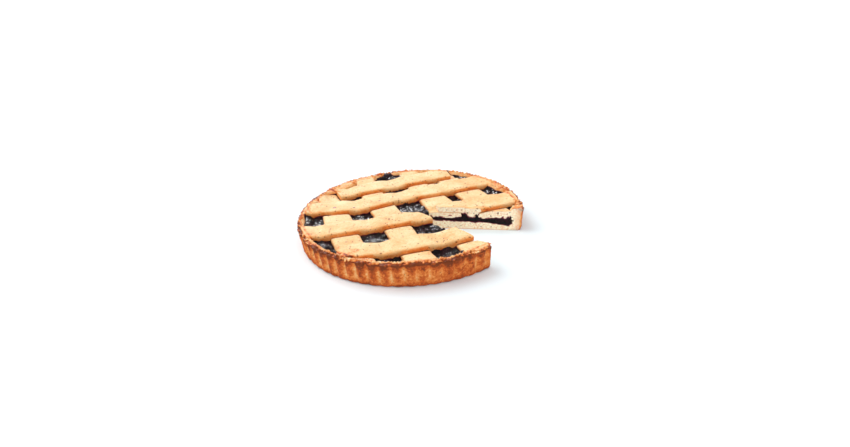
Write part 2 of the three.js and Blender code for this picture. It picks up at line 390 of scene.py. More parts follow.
# The wholemeal look that all the pastry shares: masks for bran specks, broad patches, fine grain
# and pores. A speck is where size * (least + spread * random) - distance to the cell's middle,
# made steeper, is over 0.
def makeFlourGroup():
    group = bpy.data.node_groups.new("flourGrain", "ShaderNodeTree")
    for name, kind in (("Vector", "NodeSocketVector"), ("Speck Size", "NodeSocketFloat")):
        group.interface.new_socket(name, in_out="INPUT", socket_type=kind)
    for name in ("Specks", "Patches", "Grain", "Pores"):
        group.interface.new_socket(name, in_out="OUTPUT", socket_type="NodeSocketFloat")
    start = group.nodes.new("NodeGroupInput")
    end = group.nodes.new("NodeGroupOutput")
    place = start.outputs["Vector"]
    shake = addNoise(group, place, 1000.0 / flour["speckShakeSize"], 1.0)
    shift = addNode(group, "ShaderNodeVectorMath", operation="MULTIPLY_ADD")
    shift.inputs[1].default_value = (flour["speckShake"] * mm,) * 3
    group.links.new(shake.outputs["Color"], shift.inputs[0])
    group.links.new(place, shift.inputs[2])
    cells = addNode(group, "ShaderNodeTexVoronoi", {"Scale": 1000.0 / flour["speckCell"], "Randomness": 1.0})
    group.links.new(shift.outputs["Vector"], cells.inputs["Vector"])
    chosen = addNode(group, "ShaderNodeSeparateColor")
    group.links.new(cells.outputs["Color"], chosen.inputs["Color"])
    share = addMath(group, "MULTIPLY_ADD", chosen.outputs["Red"], flour["speckSpread"], flour["speckLeast"])
    size = addMath(group, "MULTIPLY", share, start.outputs["Speck Size"])
    edge = addMath(group, "SUBTRACT", size, cells.outputs["Distance"])
    sharp = addMath(group, "MULTIPLY", edge, flour["speckSharpness"], clamp=True)
    some = addMath(group, "GREATER_THAN", chosen.outputs["Green"], flour["speckEmpty"])
    masks = {
        "Specks": addMath(group, "MULTIPLY", sharp, some),
        "Patches": addNoise(group, place, 1000.0 / flour["patchSize"], 3.0).outputs["Fac"],
        "Grain": addNoise(group, place, 1000.0 / flour["grainSize"], 3.0, 0.65).outputs["Fac"],
        "Pores": addNoise(group, place, 1000.0 / flour["poreSize"], 2.0, 0.6).outputs["Fac"],
    }
    for name, mask in masks.items():
        group.links.new(mask, end.inputs[name])
    return group


def startMaterial(name, look):
    material = bpy.data.materials.new(name)
    material.use_nodes = True
    tree = material.node_tree
    shader = tree.nodes["Principled BSDF"]
    for key, value in look.items():
        shader.inputs[key].default_value = value
    place = tree.nodes.new("ShaderNodeTexCoord").outputs["Object"]
    return material, tree, shader, place


pastryLook = {
    # the colours of the bake-and-shade mark: real browning, and painted shade where a place is darkened for
    # it
    "bakeAndShadeColours": (
        (0.0, tint(235, 205, 155)),
        (0.25, tint(231, 178, 117)),
        (0.5, tint(221, 134, 64)),
        (0.75, tint(187, 84, 32)),
        (1.0, tint(116, 54, 24)),
    ),
    # how the masks sway the bake: each a factor and what is then added
    "patchBake": (0.55, -0.26),
    "poreBake": (0.4, -0.2),
    "grainBake": (0.5, -0.25),
    "crumbPale": tint(255, 246, 216),
    "crumbDark": tint(240, 192, 150),
    "crumbContrast": (4.0, -1.3),
    "speck": tint(126, 70, 34),
    "caseSpeck": 0.24,  # the largest speck's radius, as a share of a cell
    "stripSpeck": 0.34,
    "speckStrength": 0.8,
    "stainThin": tint(140, 42, 60),
    "stainThick": tint(34, 10, 20),
    "thinFrom": (0.15, 3.0),  # where the stain starts, and how steeply
    "thickFrom": (0.5, 4.0),
    "roughness": 0.82,
    "stainGloss": 0.4,  # taken off the roughness where the stain is thick
    "bumpStrength": 0.6,
    "bumpHeight": 0.35 * mm,
}


# Pastry: the bake-and-shade mark, real browning with painted shade in places, picks its colour from pale
# to dark, cut faces show crumb, and jam stains
def makePastry(name, flourGroup, speckSize):
    material, tree, shader, place = startMaterial(name, {"Specular IOR Level": 0.2})
    masks = addNode(tree, "ShaderNodeGroup", {"Speck Size": speckSize}, node_tree=flourGroup)
    tree.links.new(place, masks.inputs["Vector"])
    patches = addMath(tree, "MULTIPLY_ADD", masks.outputs["Patches"], *pastryLook["patchBake"])
    mottle = addMath(tree, "MULTIPLY_ADD", masks.outputs["Pores"], *pastryLook["poreBake"])
    fine = addMath(tree, "MULTIPLY_ADD", masks.outputs["Grain"], *pastryLook["grainBake"])
    fine = addMath(tree, "ADD", fine, mottle)
    bakeAndShade = addMath(tree, "ADD", addMath(tree, "ADD", addMark(tree, "bakeAndShade"), patches), fine, clamp=True)
    crust = addRamp(tree, bakeAndShade, pastryLook["bakeAndShadeColours"])
    pores = masks.outputs["Pores"]
    crumbShare = addMath(tree, "MULTIPLY_ADD", pores, *pastryLook["crumbContrast"], clamp=True)
    crumb = addMix(tree, crumbShare, pastryLook["crumbDark"], pastryLook["crumbPale"])
    colour = addMix(tree, addMark(tree, "cut"), crust, crumb)
    speckShare = addMath(tree, "MULTIPLY", masks.outputs["Specks"], pastryLook["speckStrength"])
    colour = addMix(tree, speckShare, colour, pastryLook["speck"])
    thin = addStain(tree, *pastryLook["thinFrom"])
    thick = addStain(tree, *pastryLook["thickFrom"])
    colour = addMix(tree, thin, colour, pastryLook["stainThin"])
    colour = addMix(tree, thick, colour, pastryLook["stainThick"])
    tree.links.new(colour, shader.inputs["Base Color"])
    gloss = addMath(tree, "MULTIPLY", thick, pastryLook["stainGloss"])
    rough = addMath(tree, "SUBTRACT", pastryLook["roughness"], gloss)
    tree.links.new(rough, shader.inputs["Roughness"])
    addBump(tree, shader, masks.outputs["Grain"], pastryLook)
    return material


jamLook = {
    "deep": tint(16, 8, 9),
    "purple": tint(52, 16, 26),
    "patchesInMetre": 110.0,
    # what the patches make of the purple and of the roughness: each a factor and what is added
    "purpleShare": (3.0, -1.35),
    "roughness": (0.4, -0.06),
    "wrinkleSize": 1.8,  # mm
    "wrinkleTwist": 0.6,
    "bumpStrength": 0.8,
    "bumpHeight": 1.8 * mm,
}


# Jam: near black with purple patches, and fine wrinkles that break its gloss into glints
def makeJam():
    material, tree, shader, place = startMaterial("berryJam", {"IOR": 1.42, "Specular IOR Level": 0.14})
    patches = addNoise(tree, place, jamLook["patchesInMetre"], 4.0, 0.6).outputs["Fac"]
    share = addMath(tree, "MULTIPLY_ADD", patches, *jamLook["purpleShare"], clamp=True)
    colour = addMix(tree, share, jamLook["deep"], jamLook["purple"])
    tree.links.new(colour, shader.inputs["Base Color"])
    rough = addMath(tree, "MULTIPLY_ADD", patches, *jamLook["roughness"])
    tree.links.new(rough, shader.inputs["Roughness"])
    wrinkles = addNoise(tree, place, 1000.0 / jamLook["wrinkleSize"], 4.0, 0.6)
    wrinkles.inputs["Distortion"].default_value = jamLook["wrinkleTwist"]
    addBump(tree, shader, wrinkles.outputs["Fac"], jamLook)
    return material


flourGroup = makeFlourGroup()
casePastry = makePastry("casePastry", flourGroup, pastryLook["caseSpeck"])
stripPastry = makePastry("stripPastry", flourGroup, pastryLook["stripSpeck"])
jamMaterial = makeJam()
print("materials made")


# lattice: where the strips lie

lattice = {
    "bedHeight": 14.0,  # the jam under a strip, pressed down
    "underTop": 25.2,
    "pressDepth": 3.4,  # how far an over strip presses an under strip down
    "pressReach": 6.0,
    "overTop": 26.8,
    "crossingTop": 29.1,
    "crossingGap": 0.3,
    "bridgeReach": 2.0,  # mm past an under strip, where an over strip's sides come down
    "bridgeSpread": 7.0,  # added to that at its middle
    "sagReach": 17.0,
    "endRise": 3.0,
    "endRiseStart": 116.0,  # mm from the axis
    "endRiseEnd": 132.0,
    "highest": 29.7,  # no strip rises above this
    "endRadius": 134.8,  # the strips run this far into the rim
    "step": 1.25,  # mm between stations
    "coverStep": 2.0,  # mm between the points that tell where a strip covers a place
    "around": 52,  # points over a strip's top and sides
    "sectionSize": (16.0, 10.8),  # mm, half its width and its height where its points are laid out
    "waist": 0.36,  # the level of the section's widest points
    "sidePower": 0.24,  # the powers that round the section: 1 is an ellipse, 0 a box
    "topPower": 0.3,
    "underPower": 0.5,
    "crown": 0.02,
    "edgeWander": 0.45,
    "wanderSize": 16.0,
    "bumpSize": 7.0,
    "bumpHeight": 0.4,
    "grainSize": 1.9,
    "grainHeight": 0.22,
    "crackDepth": 1.6,
    "crackWander": 1.1,
    "crackWanderSize": 5.0,
    "crackWidths": (0.4, 1.5),  # mm from its line: as deep as it gets, and gone
}

# centre lines, each point with the strip's width there: x, y, width
underPaths = {
    "under_strip_1": [(-50, -134, 31), (-69.5, -80, 32), (-89, -15, 34), (-108, 48, 31), (-120, 82, 28)],
    "under_strip_2": [(11, -137, 32), (-10, -65, 32), (-27, -10, 35), (-47, 51, 31), (-66, 122, 28)],
    "under_strip_3_front": [(76, -137, 32), (67, -106, 33), (59, -78, 33)],
    "under_strip_3_back": [(47, -24, 37), (36, 20, 37), (15.5, 75, 30), (0, 137, 28)],
    "under_strip_4": [(110, -50, 34), (102, -20, 35), (87, 28, 36), (62, 85, 31), (42, 132, 29)],
}
overPaths = {
    "over_strip_1": [(-80, -101, 28), (-38, -98.5, 29), (30, -84, 30), (84, -67, 31)],
    "over_strip_2_left": [(-134, -52, 32), (-50, -37.5, 29), (0, -26.5, 28), (24, -21, 28)],
    "over_strip_2_right": [(38, -15, 33), (64, -6, 34), (87, -0.5, 36), (115, 7.5, 36), (138, 13, 34)],
    "over_strip_3": [
        (-137, 17, 31), (-60, 24, 34), (-16, 41, 31), (38, 58, 35), (110, 79, 34), (126, 84, 32)
    ],
    "over_strip_4": [(-97, 62.5, 28), (-77, 71, 29), (-25, 91, 34), (40, 110, 31), (59, 114, 29)],
}
stripCuts = {
    "under_strip_3_back": "cutStart",
    "under_strip_4": "cutStart",
    "over_strip_1": "cutEnd",
    "over_strip_2_left": "cutEnd",
    "over_strip_2_right": "cutStart",
}

sideCuts = {"under_strip_3_front": "cutEnd"}  # the cut runs along this strip, not across it

# cracks in the crust, each from corner to corner: x, y
cracks = [
    [(-133, 24), (-129, 14), (-125, 4)],
    [(-122, 47), (-118.5, 37), (-124, 31)],
    [(-109, 79), (-101, 71), (-94, 66)],
    [(-80, -103), (-76, -109), (-77, -116), (-70, -121)],
    [(122, 30), (129, 18), (131, 5)],
]


# A smooth line through points: cubic stretches whose end slopes weigh the three nearest chords
# by the square roots of their lengths
def smoothLine(corners, step):
    points = np.array(corners, float)
    points = np.vstack([2 * points[0] - points[1], points, 2 * points[-1] - points[-2]])
    line = []
    for p0, p1, p2, p3 in zip(points, points[1:], points[2:], points[3:]):
        d0, d1, d2 = (math.sqrt(np.linalg.norm(b - a)) for a, b in ((p0, p1), (p1, p2), (p2, p3)))
        slope1 = ((p1 - p0) / d0 - (p2 - p0) / (d0 + d1) + (p2 - p1) / d1) * d1
        slope2 = ((p2 - p1) / d1 - (p3 - p1) / (d1 + d2) + (p3 - p2) / d2) * d1
        t = np.linspace(0, 1, 60)[:, None]
        bend = -3 * p1 + 3 * p2 - 2 * slope1 - slope2
        turn = 2 * p1 - 2 * p2 + slope1 + slope2
        line.append(p1 + slope1 * t + bend * t**2 + turn * t**3)
    line = np.concatenate(line)
    length = np.linalg.norm(np.diff(line, axis=0), axis=1).sum()
    return evenly(line, int(length / step) + 1)


underLines = [smoothLine(path, lattice["coverStep"]) for path in underPaths.values()]
overLines = [smoothLine(path, lattice["coverStep"]) for path in overPaths.values()]


# 1 where a strip covers the place, easing to 0 within the reach beyond the strip's edge
def covered(x, y, lines, reach, inset=1.0):
    most = np.zeros(np.shape(x))
    for line in lines:
        beyond = np.full(np.shape(x), 1e9)
        for cx, cy, width in line:
            beyond = np.minimum(beyond, np.hypot(x - cx, y - cy) - width / 2)
        most = np.maximum(most, 1.0 - eased(beyond, -inset, reach))
    return most


# how near a place is to a crack: 1 on its line, easing to 0 beside it
def crackShare(places, seed):
    x = places[..., 0] + lattice["crackWander"] * layered(places, lattice["crackWanderSize"], seed)
    y = places[..., 1]
    most = np.zeros(x.shape)
    for corners in cracks:
        for (startX, startY), (endX, endY) in zip(corners, corners[1:]):
            wide, deep = endX - startX, endY - startY
            along = np.clip(((x - startX) * wide + (y - startY) * deep) / (wide**2 + deep**2), 0.0, 1.0)
            away = np.hypot(x - startX - along * wide, y - startY - along * deep)
            most = np.maximum(most, 1.0 - eased(away, *lattice["crackWidths"]))
    return most


# how far the strips climb onto the rim: the rise, eased in between two distances from the axis
def climb(x, y):
    return lattice["endRise"] * eased(np.hypot(x, y), lattice["endRiseStart"], lattice["endRiseEnd"])


# Underside and top of an under strip, pressed down where an over strip crosses it. They are the
# same from side to side, so the side isn't read.
def underHeights(x, y, side):
    press = lattice["pressDepth"] * covered(x, y, overLines, lattice["pressReach"])
    return lattice["bedHeight"] + climb(x, y), lattice["underTop"] - press + climb(x, y)


# Underside and top of an over strip, which sinks back to the jam between its crossings. Its sides
# come down sooner past an under strip than its middle.
def overHeights(x, y, side=0.0):
    crossing = lattice["underTop"] - lattice["pressDepth"] + lattice["crossingGap"]
    reach = lattice["bridgeReach"] + lattice["bridgeSpread"] * (1.0 - side**2)
    low = lattice["bedHeight"] + (crossing - lattice["bedHeight"]) * covered(x, y, underLines, reach)
    lift = covered(x, y, underLines, lattice["sagReach"])
    high = lattice["overTop"] + (lattice["crossingTop"] - lattice["overTop"]) * lift
    return low + climb(x, y), np.minimum(high + climb(x, y), lattice["highest"])


# filling

filling = {
    "level": 20.0,  # between the strips
    "rimClimb": 4.6,  # how much higher the jam stands against the rim
    "rimReach": (115.0, 129.0),  # mm from the axis, where it climbs
    "calmReach": (2.0, 9.0),  # degrees from the first cut, within which it stays low instead
    "calmShare": 1.3,
    "radius": 130.2,
    "columns": 601,
    "rings": 138,
    "berrySpacing": 11.5,
    "berryRadius": 6.4,
    "berryRise": 2.0,
    "berryShake": 0.25,  # how far a berry lies off its grid, as a share of the spacing
    "rowSpacing": 0.88,  # rows lie closer than the berries in a row
    "berrySizes": (0.8, 1.2),
    "berryRises": (0.3, 1.25),
    "berryFlatness": 0.8,
    "berryBed": -0.8,  # the jam between the berries, from the level
    "wrinkleSize": 4.8,
    "wrinkleHeight": 1.5,
    "pressGap": 0.25,  # the jam reaches this far into the strips that press it
    "pressEdge": 3.0,  # mm from a strip's edge, over which it is pressed down
    "bulge": 0.9,  # how far the jam swells out of a cut
    "bulgeSize": 3.0,
}

basePath = [(0, 12.6), (35, 12.3), (60, 10.7), (87, 10.9), (107, 8.4), (121, 7.2)]  # radius, height
wallPath = [(127, 11), (128.8, 16), (130.4, 24)]


# the height of the base's upper face, read off the path at a distance from the axis
def baseTop(radius):
    corners = np.array(basePath + wallPath[:2])
    return np.interp(radius, corners[:, 0], corners[:, 1])


# berry places on a loose hexagonal grid, each with its radius and rise
def berryPlaces():
    random = np.random.default_rng(12)
    spacing = filling["berrySpacing"]
    rows = int(filling["radius"] / spacing) + 2
    row, column = np.meshgrid(np.arange(-rows, rows + 1), np.arange(-rows, rows + 1), indexing="ij")
    shake = random.uniform(-filling["berryShake"], filling["berryShake"], (2, *row.shape))
    x = (column + 0.5 * (row % 2) + shake[0]) * spacing
    y = (row * filling["rowSpacing"] + shake[1]) * spacing
    radius = filling["berryRadius"] * random.uniform(*filling["berrySizes"], row.shape)
    rise = filling["berryRise"] * random.uniform(*filling["berryRises"], row.shape)
    return np.stack([x, y, radius, rise], -1).reshape(-1, 4)


# The jam's height. Between the strips it is the level, plus domes
# rise - flatness * radius * (1 - sqrt(1 - (distance / radius)^2)), plus the wrinkles' height *
# (0.5 - 2 * |grain|), plus the climb onto the rim. Under the strips it is their undersides.
def jamTop(x, y):
    flat = np.stack([x, y, np.zeros_like(x)], -1)
    domes = np.full(x.shape, -2.0)
    for bx, by, radius, rise in berryPlaces():
        near = (np.hypot(x - bx, y - by) / radius) ** 2
        drop = radius * filling["berryFlatness"] * (1.0 - np.sqrt(np.maximum(0.0, 1.0 - near)))
        domes = np.where(near > 1, domes, np.maximum(domes, rise - drop))
    wrinkle = 1.0 - np.abs(layered(flat * [0.6, 1.0, 1.0], filling["wrinkleSize"], 31)) * 2.0
    free = filling["level"] + np.maximum(domes, filling["berryBed"])
    free = free + filling["wrinkleHeight"] * (wrinkle - 0.5)
    turn = np.degrees(np.arctan2(y, x))
    calm = 1.0 - eased(np.abs(turn - tart["cutStart"]), *filling["calmReach"])
    atRim = filling["rimClimb"] * eased(np.hypot(x, y), *filling["rimReach"])
    free = free + atRim * (1.0 - filling["calmShare"] * calm)
    under = covered(x, y, underLines, 0.0, filling["pressEdge"])
    over = covered(x, y, overLines, 0.0, filling["pressEdge"])
    pressed = lattice["bedHeight"] + filling["pressGap"] + climb(x, y)
    bridged = overHeights(x, y)[0] + filling["pressGap"]
    top = free * (1.0 - over) + bridged * over
    return top * (1.0 - under) + pressed * under


# the filling between the base's upper face and the jam's height, carried round from cut to cut
def fillingSkin():
    angles = np.linspace(tart["cutStart"], tart["cutEnd"] + 360.0, filling["columns"])
    radius = np.linspace(0.0, filling["radius"], filling["rings"])
    marks = np.zeros((len(angles), len(radius), 3))
    low = np.concatenate([swept(radius, baseTop(radius) - 0.1, angles), marks], -1)
    high = low.copy()
    high[..., 2] = jamTop(high[..., 0], high[..., 1])
    high[:, 0, 2] = high[:, 0, 2].mean()
    ends = (cutNormal("cutStart"), cutNormal("cutEnd"))
    return skinBetween(low, high, ends, relief=filling["bulge"], reliefSize=filling["bulgeSize"], thin=10)


jamPiece = makePiece("berryFilling", [fillingSkin()], jamMaterial)
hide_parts("berry_filling")


# case

case = {
    "grooveDepth": 2.7,
    "footRadius": 137.4,
    "shoulderRadius": 138.8,
    "shoulderHeight": 22.5,
    "crestRadius": 135.8,
    "seamRadius": 118.0,  # where the wall's ring meets the base's disc
    "wallColumns": 780,
    "outsideSteps": [7, 3, 3, 20, 5, 4, 6],  # rows on each stretch, 48 on either side
    "insideSteps": [3, 6, 4, 9, 8, 8, 10],
    "baseColumns": 80,
    "baseRings": 112,
    "baseBake": 0.55,
    "baseStain": 0.8,
    "wallRough": 0.5,
    "lipRough": 2.0,
    "crestRough": 2.1,
    "crumbSize": 4.2,
    "smallCrumbSize": 2.1,
    "wornCorner": 4.5,  # mm, how round the outside corner at the second cut is worn
    # where the wall is painted as in shade: from here on its ribs show less
    "shadeFrom": (262.0, 285.0),  # degrees, where the ribs start to show less
    # where the rim is broader inwards: angle, half its reach in degrees, mm
    "broadRims": [(24, 11, 6.5), (136, 15, 10.0), (113, 7, 5.0), (95, 6, 3.0), (160, 6, 3.0), (-13, 8, 8.0)],
    "stainTop": 25.8,  # the height up to which jam has stained the inside
    "stainWander": 1.6,
    # where jam has boiled up on the rim's inside: angle, half its reach in degrees, up to this height
    "jamSmears": [(103, 4, 29.4), (176, 10, 28.6), (64, 3, 29.5)],
}


# 1 in the middle of a groove and 0 on the crown of a rib: 1 - |sin(half the flutes' turn)|
def groove(angles):
    turn = np.radians(angles - tart["grooveAngle"])
    return 1.0 - np.abs(np.sin(turn * tart["fluteCount"] / 2))


# 1 at the middle angle, easing to 0 at the reach on either side, in degrees
def nearAngle(angles, middle, reach):
    away = np.abs((angles - middle + 180.0) % 360.0 - 180.0)
    return (1.0 - eased(away, 0.35 * reach, reach))[:, None]


# the wall's outline as lines of radius and height that share their ends: from the underside up
# the outside to the crest, and from the base up the inside to the same crest
def wallProfiles():
    seam, foot, shoulder = case["seamRadius"], case["footRadius"], case["shoulderRadius"]
    rim = tart["rimRadius"]
    crest = (case["crestRadius"], tart["crestHeight"])
    outside = [(seam, 0), (foot - 3.4, 0), (foot - 0.9, 1.1), (foot, 3.6)]
    outside += [(shoulder, case["shoulderHeight"]), (rim - 0.6, 25.6), (rim - 1, 28), crest]
    inside = [(seam, baseTop(seam)), basePath[-1], *wallPath, (132.2, 28.2), (134, 29.3), crest]
    return stretched(outside, case["outsideSteps"]), stretched(inside, case["insideSteps"])


# draws the inside in where the rim is broader, by the breadth eased round the angle, above the
# wall's foot and short of the crest
def broaden(sheet, radius, angles):
    for middle, reach, breadth in case["broadRims"]:
        drawn = breadth * nearAngle(angles, middle, reach)
        drawn = drawn * eased(sheet[..., 2], 9.0, 17.0) * eased(136.0 - radius, 0.0, 3.0)
        sheet[..., :2] *= (1.0 - drawn / radius)[..., None]


# how far the outside corner at the second cut is worn in: w * (1 - sqrt(1 - s^2)), where s falls
# from 1 at the cut to 0 at w from it
def cornerWear(radius, angles):
    along = np.radians(angles[-1] - angles)[:, None] * tart["rimRadius"]
    worn = np.clip(1.0 - along / case["wornCorner"], 0.0, 1.0)
    return case["wornCorner"] * (1.0 - np.sqrt(1.0 - worn**2)) * eased(radius, 130.0, 136.0)


# how brown the outside is: ribs browner than grooves, with the grooves' paler tint fading towards the right
# as painted shade, browner at the foot, darker under the lip as a painted shadow of its overhang, and pale
# above a wavy line on the lip, its own paler colour with a painted highlight along the crest
def outsideBakeAndShade(height, lineHeight, angles, wallShare):
    # towards the right of the wall the grooves' paler tint fades, as painted shade on that side
    ribsLit = (1.0 - 0.5 * eased(angles, *case["shadeFrom"]))[:, None]
    bakeAndShade = 0.7 - 0.46 * ribsLit * groove(angles)[:, None] ** 1.2 * wallShare * eased(height, 1.0, 10.0)
    # darker under the lip as a painted shadow of its overhang, and browner at the foot
    bakeAndShade = bakeAndShade + 0.26 * eased(height, 17.5, 23.5) + 0.16 * (1 - eased(height, 0.5, 7.0))
    # the pale lip: its own paler colour, with a painted highlight along the crest
    return bakeAndShade - 0.7 * eased(lineHeight, 27.6, 29.0)


# 1 below a ragged level on the inside, which is higher where jam has boiled up
def wallStain(sheet, angles):
    height = sheet[..., 2]
    level = case["stainTop"] + 0.0 * height
    for middle, reach, top in case["jamSmears"]:
        level = level + (top - case["stainTop"]) * nearAngle(angles, middle, reach)
    return eased(level + case["stainWander"] * layered(sheet, 6.0, 45) - height, 0.0, 2.0)


# One side of the wall: its profile carried round the axis, drawn in by grooves - roughness, raised
# along the crest by crumbs, and sunk along the cracks. On the inside the roughness is weaker, and
# the crumbs swell towards the axis.
def wallSheet(profile, angles, isOutside):
    sheet = swept(profile[:, 0], profile[:, 1], angles)
    radius = profile[:, 0] + 0.0 * angles[:, None]
    if not isOutside:
        broaden(sheet, radius, angles)
    height = sheet[..., 2].copy()
    lipShare = eased(height, 24.0, 27.0) * eased(radius, 131.0, 134.0)
    wallShare = eased(radius, 130.0, 136.5) * (1.0 - 0.8 * eased(height, 23.0, 28.0))
    footShare = 0.45 + 0.55 * eased(height, 0.0, 9.0)
    crumb, crumbValue = crumbs(sheet, case["crumbSize"], 15)
    ragged = 0.6 + 0.4 * eased(layered(sheet * [1, 1, 0], 26.0, 85), -0.35, 0.35)
    crumb = 1.0 - ragged * (1.0 - crumb)
    crumbValue = crumbValue * ragged
    small, smallValue = crumbs(sheet, case["smallCrumbSize"], 75)
    grooves = groove(angles)[:, None] * case["grooveDepth"] * wallShare * footShare
    rough = case["wallRough"] * (layered(sheet, 6.0, 5) + small - 0.5) * eased(height, 0.2, 3.0)
    inward = grooves - rough * (1.0 if isOutside else 0.6)
    crumbly = case["lipRough"] * lipShare * (0.5 - crumb + 0.5 * crumbValue)
    inward = inward + crumbly * (1.0 if isOutside else -0.6)
    if isOutside:
        inward = inward + cornerWear(radius, angles)
    sheet[..., :2] *= np.minimum(1.0 - inward / radius, tart["rimRadius"] / radius)[..., None]
    rise = crumb - 0.75 + 0.45 * crumbValue + 0.5 * layered(sheet * [1, 1, 0], 14.0, 25)
    sheet[..., 2] += eased(height, 26.5, 29.0) * case["crestRough"] * rise
    sheet[..., 2] = np.minimum(sheet[..., 2], tart["topLimit"])
    height = sheet[..., 2].copy()
    if isOutside:
        wavy = 2.2 * layered(sheet * [1, 1, 0], 13.0, 105)
        bakeAndShade = outsideBakeAndShade(height, height + 0.9 * crumbValue + wavy, angles, wallShare)
    else:
        bakeAndShade = 0.3 - 0.1 * eased(height, 26.0, 28.5)
    bakeAndShade = bakeAndShade + 0.2 * layered(sheet, 7.0, 35) + 0.12 * smallValue
    crack = crackShare(sheet, 65) * eased(height, 26.0, 28.0)
    sheet[..., 2] -= lattice["crackDepth"] * crack
    # darker along the cracks, browner on some crumbs of the lip at random, and darker in the crevices between
    # the crumbs as painted shade
    bakeAndShade = bakeAndShade + 0.34 * crack + lipShare * (0.24 * crumbValue + 0.34 * (1.0 - crumb))
    stain = np.zeros_like(bakeAndShade) if isOutside else wallStain(sheet, angles)
    marks = np.stack([np.zeros_like(bakeAndShade), bakeAndShade, stain], -1)
    return np.concatenate([sheet, marks], -1)


# the wall as a ring between its outside, which is the lower sheet, and its inside
def caseWallSkin():
    angles = np.linspace(tart["cutStart"], tart["cutEnd"] + 360.0, case["wallColumns"])
    outside, inside = wallProfiles()
    low, high = wallSheet(outside, angles, True), wallSheet(inside, angles, False)
    high[:, -1] = low[:, -1]
    return skinBetween(low, high, (cutNormal("cutStart"), cutNormal("cutEnd")))


# the base as a disc between the flat underside and the base's upper face, stained by the jam
def caseBaseSkin():
    angles = np.linspace(tart["cutStart"], tart["cutEnd"] + 360.0, case["baseColumns"])
    radius = np.linspace(0.0, case["seamRadius"], case["baseRings"])
    marks = np.zeros((len(angles), len(radius), 3))
    marks[..., 1] = case["baseBake"]
    low = np.concatenate([swept(radius, np.zeros_like(radius), angles), marks], -1)
    high = np.concatenate([swept(radius, baseTop(radius), angles), marks], -1)
    high[..., 5] = case["baseStain"]
    return skinBetween(low, high, (cutNormal("cutStart"), cutNormal("cutEnd")))


casePiece = makePiece("pastryCase", [caseWallSkin(), caseBaseSkin()], casePastry)
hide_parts("pastry_case")


# strips

stripLook = {
    "bakeAndShade": 0.15,  # 0 is the palest and 1 the brownest
    "crackDarkening": 0.34,
    # the sides' browning, partly real and partly painted shade
    "sideBakeAndShade": 0.34,
    "patchBake": 0.12,
    "patchSize": 14.0,
    "grainBake": 0.06,
    # brown lines: mm from the axis or from the first cut, wander, half the width, strength
    "rimLine": (131.6, 2.2, 1.5, 0.42),
    "foldLine": (3.4, 1.5, 1.3, 0.26),
    "foldFrom": (30.0, 50.0),  # x, where the fold's line starts to show
    # places that are baked browner: x, y, radius, strength
    "brownSpots": [(-62, -105, 9, 0.3), (-68, -116, 10, 0.4), (-85, -95, 10, 0.25), (40, -84, 12, 0.1)],
    "wetRise": 1.4,  # how far above the filling's level a strip's sides are wet
    "wetWander": 1.6,
    "wetEdge": 2.2,
    # places where jam has boiled up a strip's side: x, y, radius, mm
    "wetSides": [(-110, 0, 14, 3.5), (12, 0, 12, 2.5)],
    # places where jam has soaked through: x, y, radius
    "jamSpots": [(-96, 13, 3.4), (-71, 11, 2.4), (-39, 25, 2.8)],
    "spotStain": 0.66,
}


# A strip's section in two halves that share their ends: from side to side over the top, and along
# the underside. The first column is the side, -cos(t) rounded by a power, -1 to 1. The second is
# the level, 0 to 1: the waist plus or minus a share of sin(t), rounded too, and a slight crown.
def sectionHalves():
    turn = np.linspace(0, math.pi, 721)
    size, waist = lattice["sectionSize"], lattice["waist"]
    side = -np.sign(np.cos(turn)) * np.abs(np.cos(turn)) ** lattice["sidePower"]
    over = np.abs(np.sin(turn))
    top = waist + (1.0 - waist) * over ** lattice["topPower"] + lattice["crown"] * (1 - side**2)
    upper = np.stack([side * size[0], top * size[1]], -1)
    under = np.stack([side * size[0], (waist - waist * over ** lattice["underPower"]) * size[1]], -1)
    count = lattice["around"]
    return evenly(upper, count) / size, evenly(under, count) / size


# Cuts each lengthwise line of a sheet where the measure turns negative towards either end, and
# lays the rest of the line out evenly
def trimmed(sheet, measure, count):
    rows, columns = sheet.shape[:2]
    column = np.arange(columns)
    isIn = measure > 0
    first = isIn.argmax(0)
    last = rows - 1 - isIn[::-1].argmax(0)
    before = np.maximum(first - 1, 0)
    after = np.minimum(last + 1, rows - 1)
    m0, m1 = measure[before, column], measure[first, column]
    start = np.where(first > 0, first - m1 / np.maximum(m1 - m0, 1e-9), 0.0)
    m2, m3 = measure[last, column], measure[after, column]
    end = np.where(last < rows - 1, last + m2 / np.maximum(m2 - m3, 1e-9), rows - 1.0)
    wanted = start + (end - start) * np.linspace(0.0, 1.0, count)[:, None]
    index = np.clip(np.floor(wanted).astype(int), 0, rows - 2)
    share = (wanted - index)[..., None]
    return sheet[index, column] * (1.0 - share) + sheet[index + 1, column] * share


